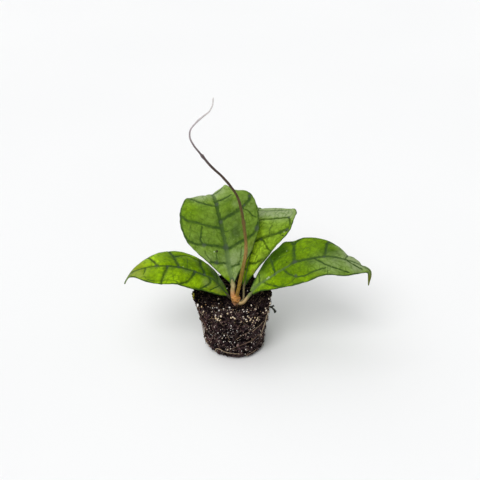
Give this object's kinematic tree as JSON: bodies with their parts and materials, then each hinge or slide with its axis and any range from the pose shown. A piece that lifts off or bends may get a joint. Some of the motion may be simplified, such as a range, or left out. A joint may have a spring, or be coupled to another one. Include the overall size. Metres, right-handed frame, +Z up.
{
  "type": "hoya callistophylla starter plant",
  "caption": "Rooted cutting of a waxy-leaved climbing plant with dark-veined leaves and one long bare runner, in a bare tapered plug of potting mix.",
  "frame": {"origin": "centre of the soil plug's flat foot, on the surface it stands on", "axes": "+Z up; +X to the right and +Y away from somebody who faces the upper sides of the two upright leaves"},
  "size_m": [0.154, 0.0776, 0.1761],
  "materials": {
    "leaf": "thick waxy green leaf, satin, with sunken dark green veins",
    "petiole": "tan to olive leaf stalk, finely wrinkled, matt",
    "stem": "orange-brown corky stem base, rough",
    "runner": "bare young vine, brown below, mauve-grey towards the tip",
    "soil": "dark peat and bark mix, crumbly, matt",
    "perlite": "white to cream expanded grains, matt",
    "root": "pale brown fine roots, matt",
    "moss": "yellow-green tufts, matt"
  },
  "bodies": {
    "root": {"soil_plug": "soil", "crown_stem": "stem", "runner": "runner", "petiole_left": "petiole", "petiole_right": "petiole", "petiole_centre": "petiole", "petiole_back": "petiole", "blade_left": "leaf", "blade_right": "leaf", "blade_centre": "leaf", "blade_back": "leaf"}
  },
  "joints": []
}
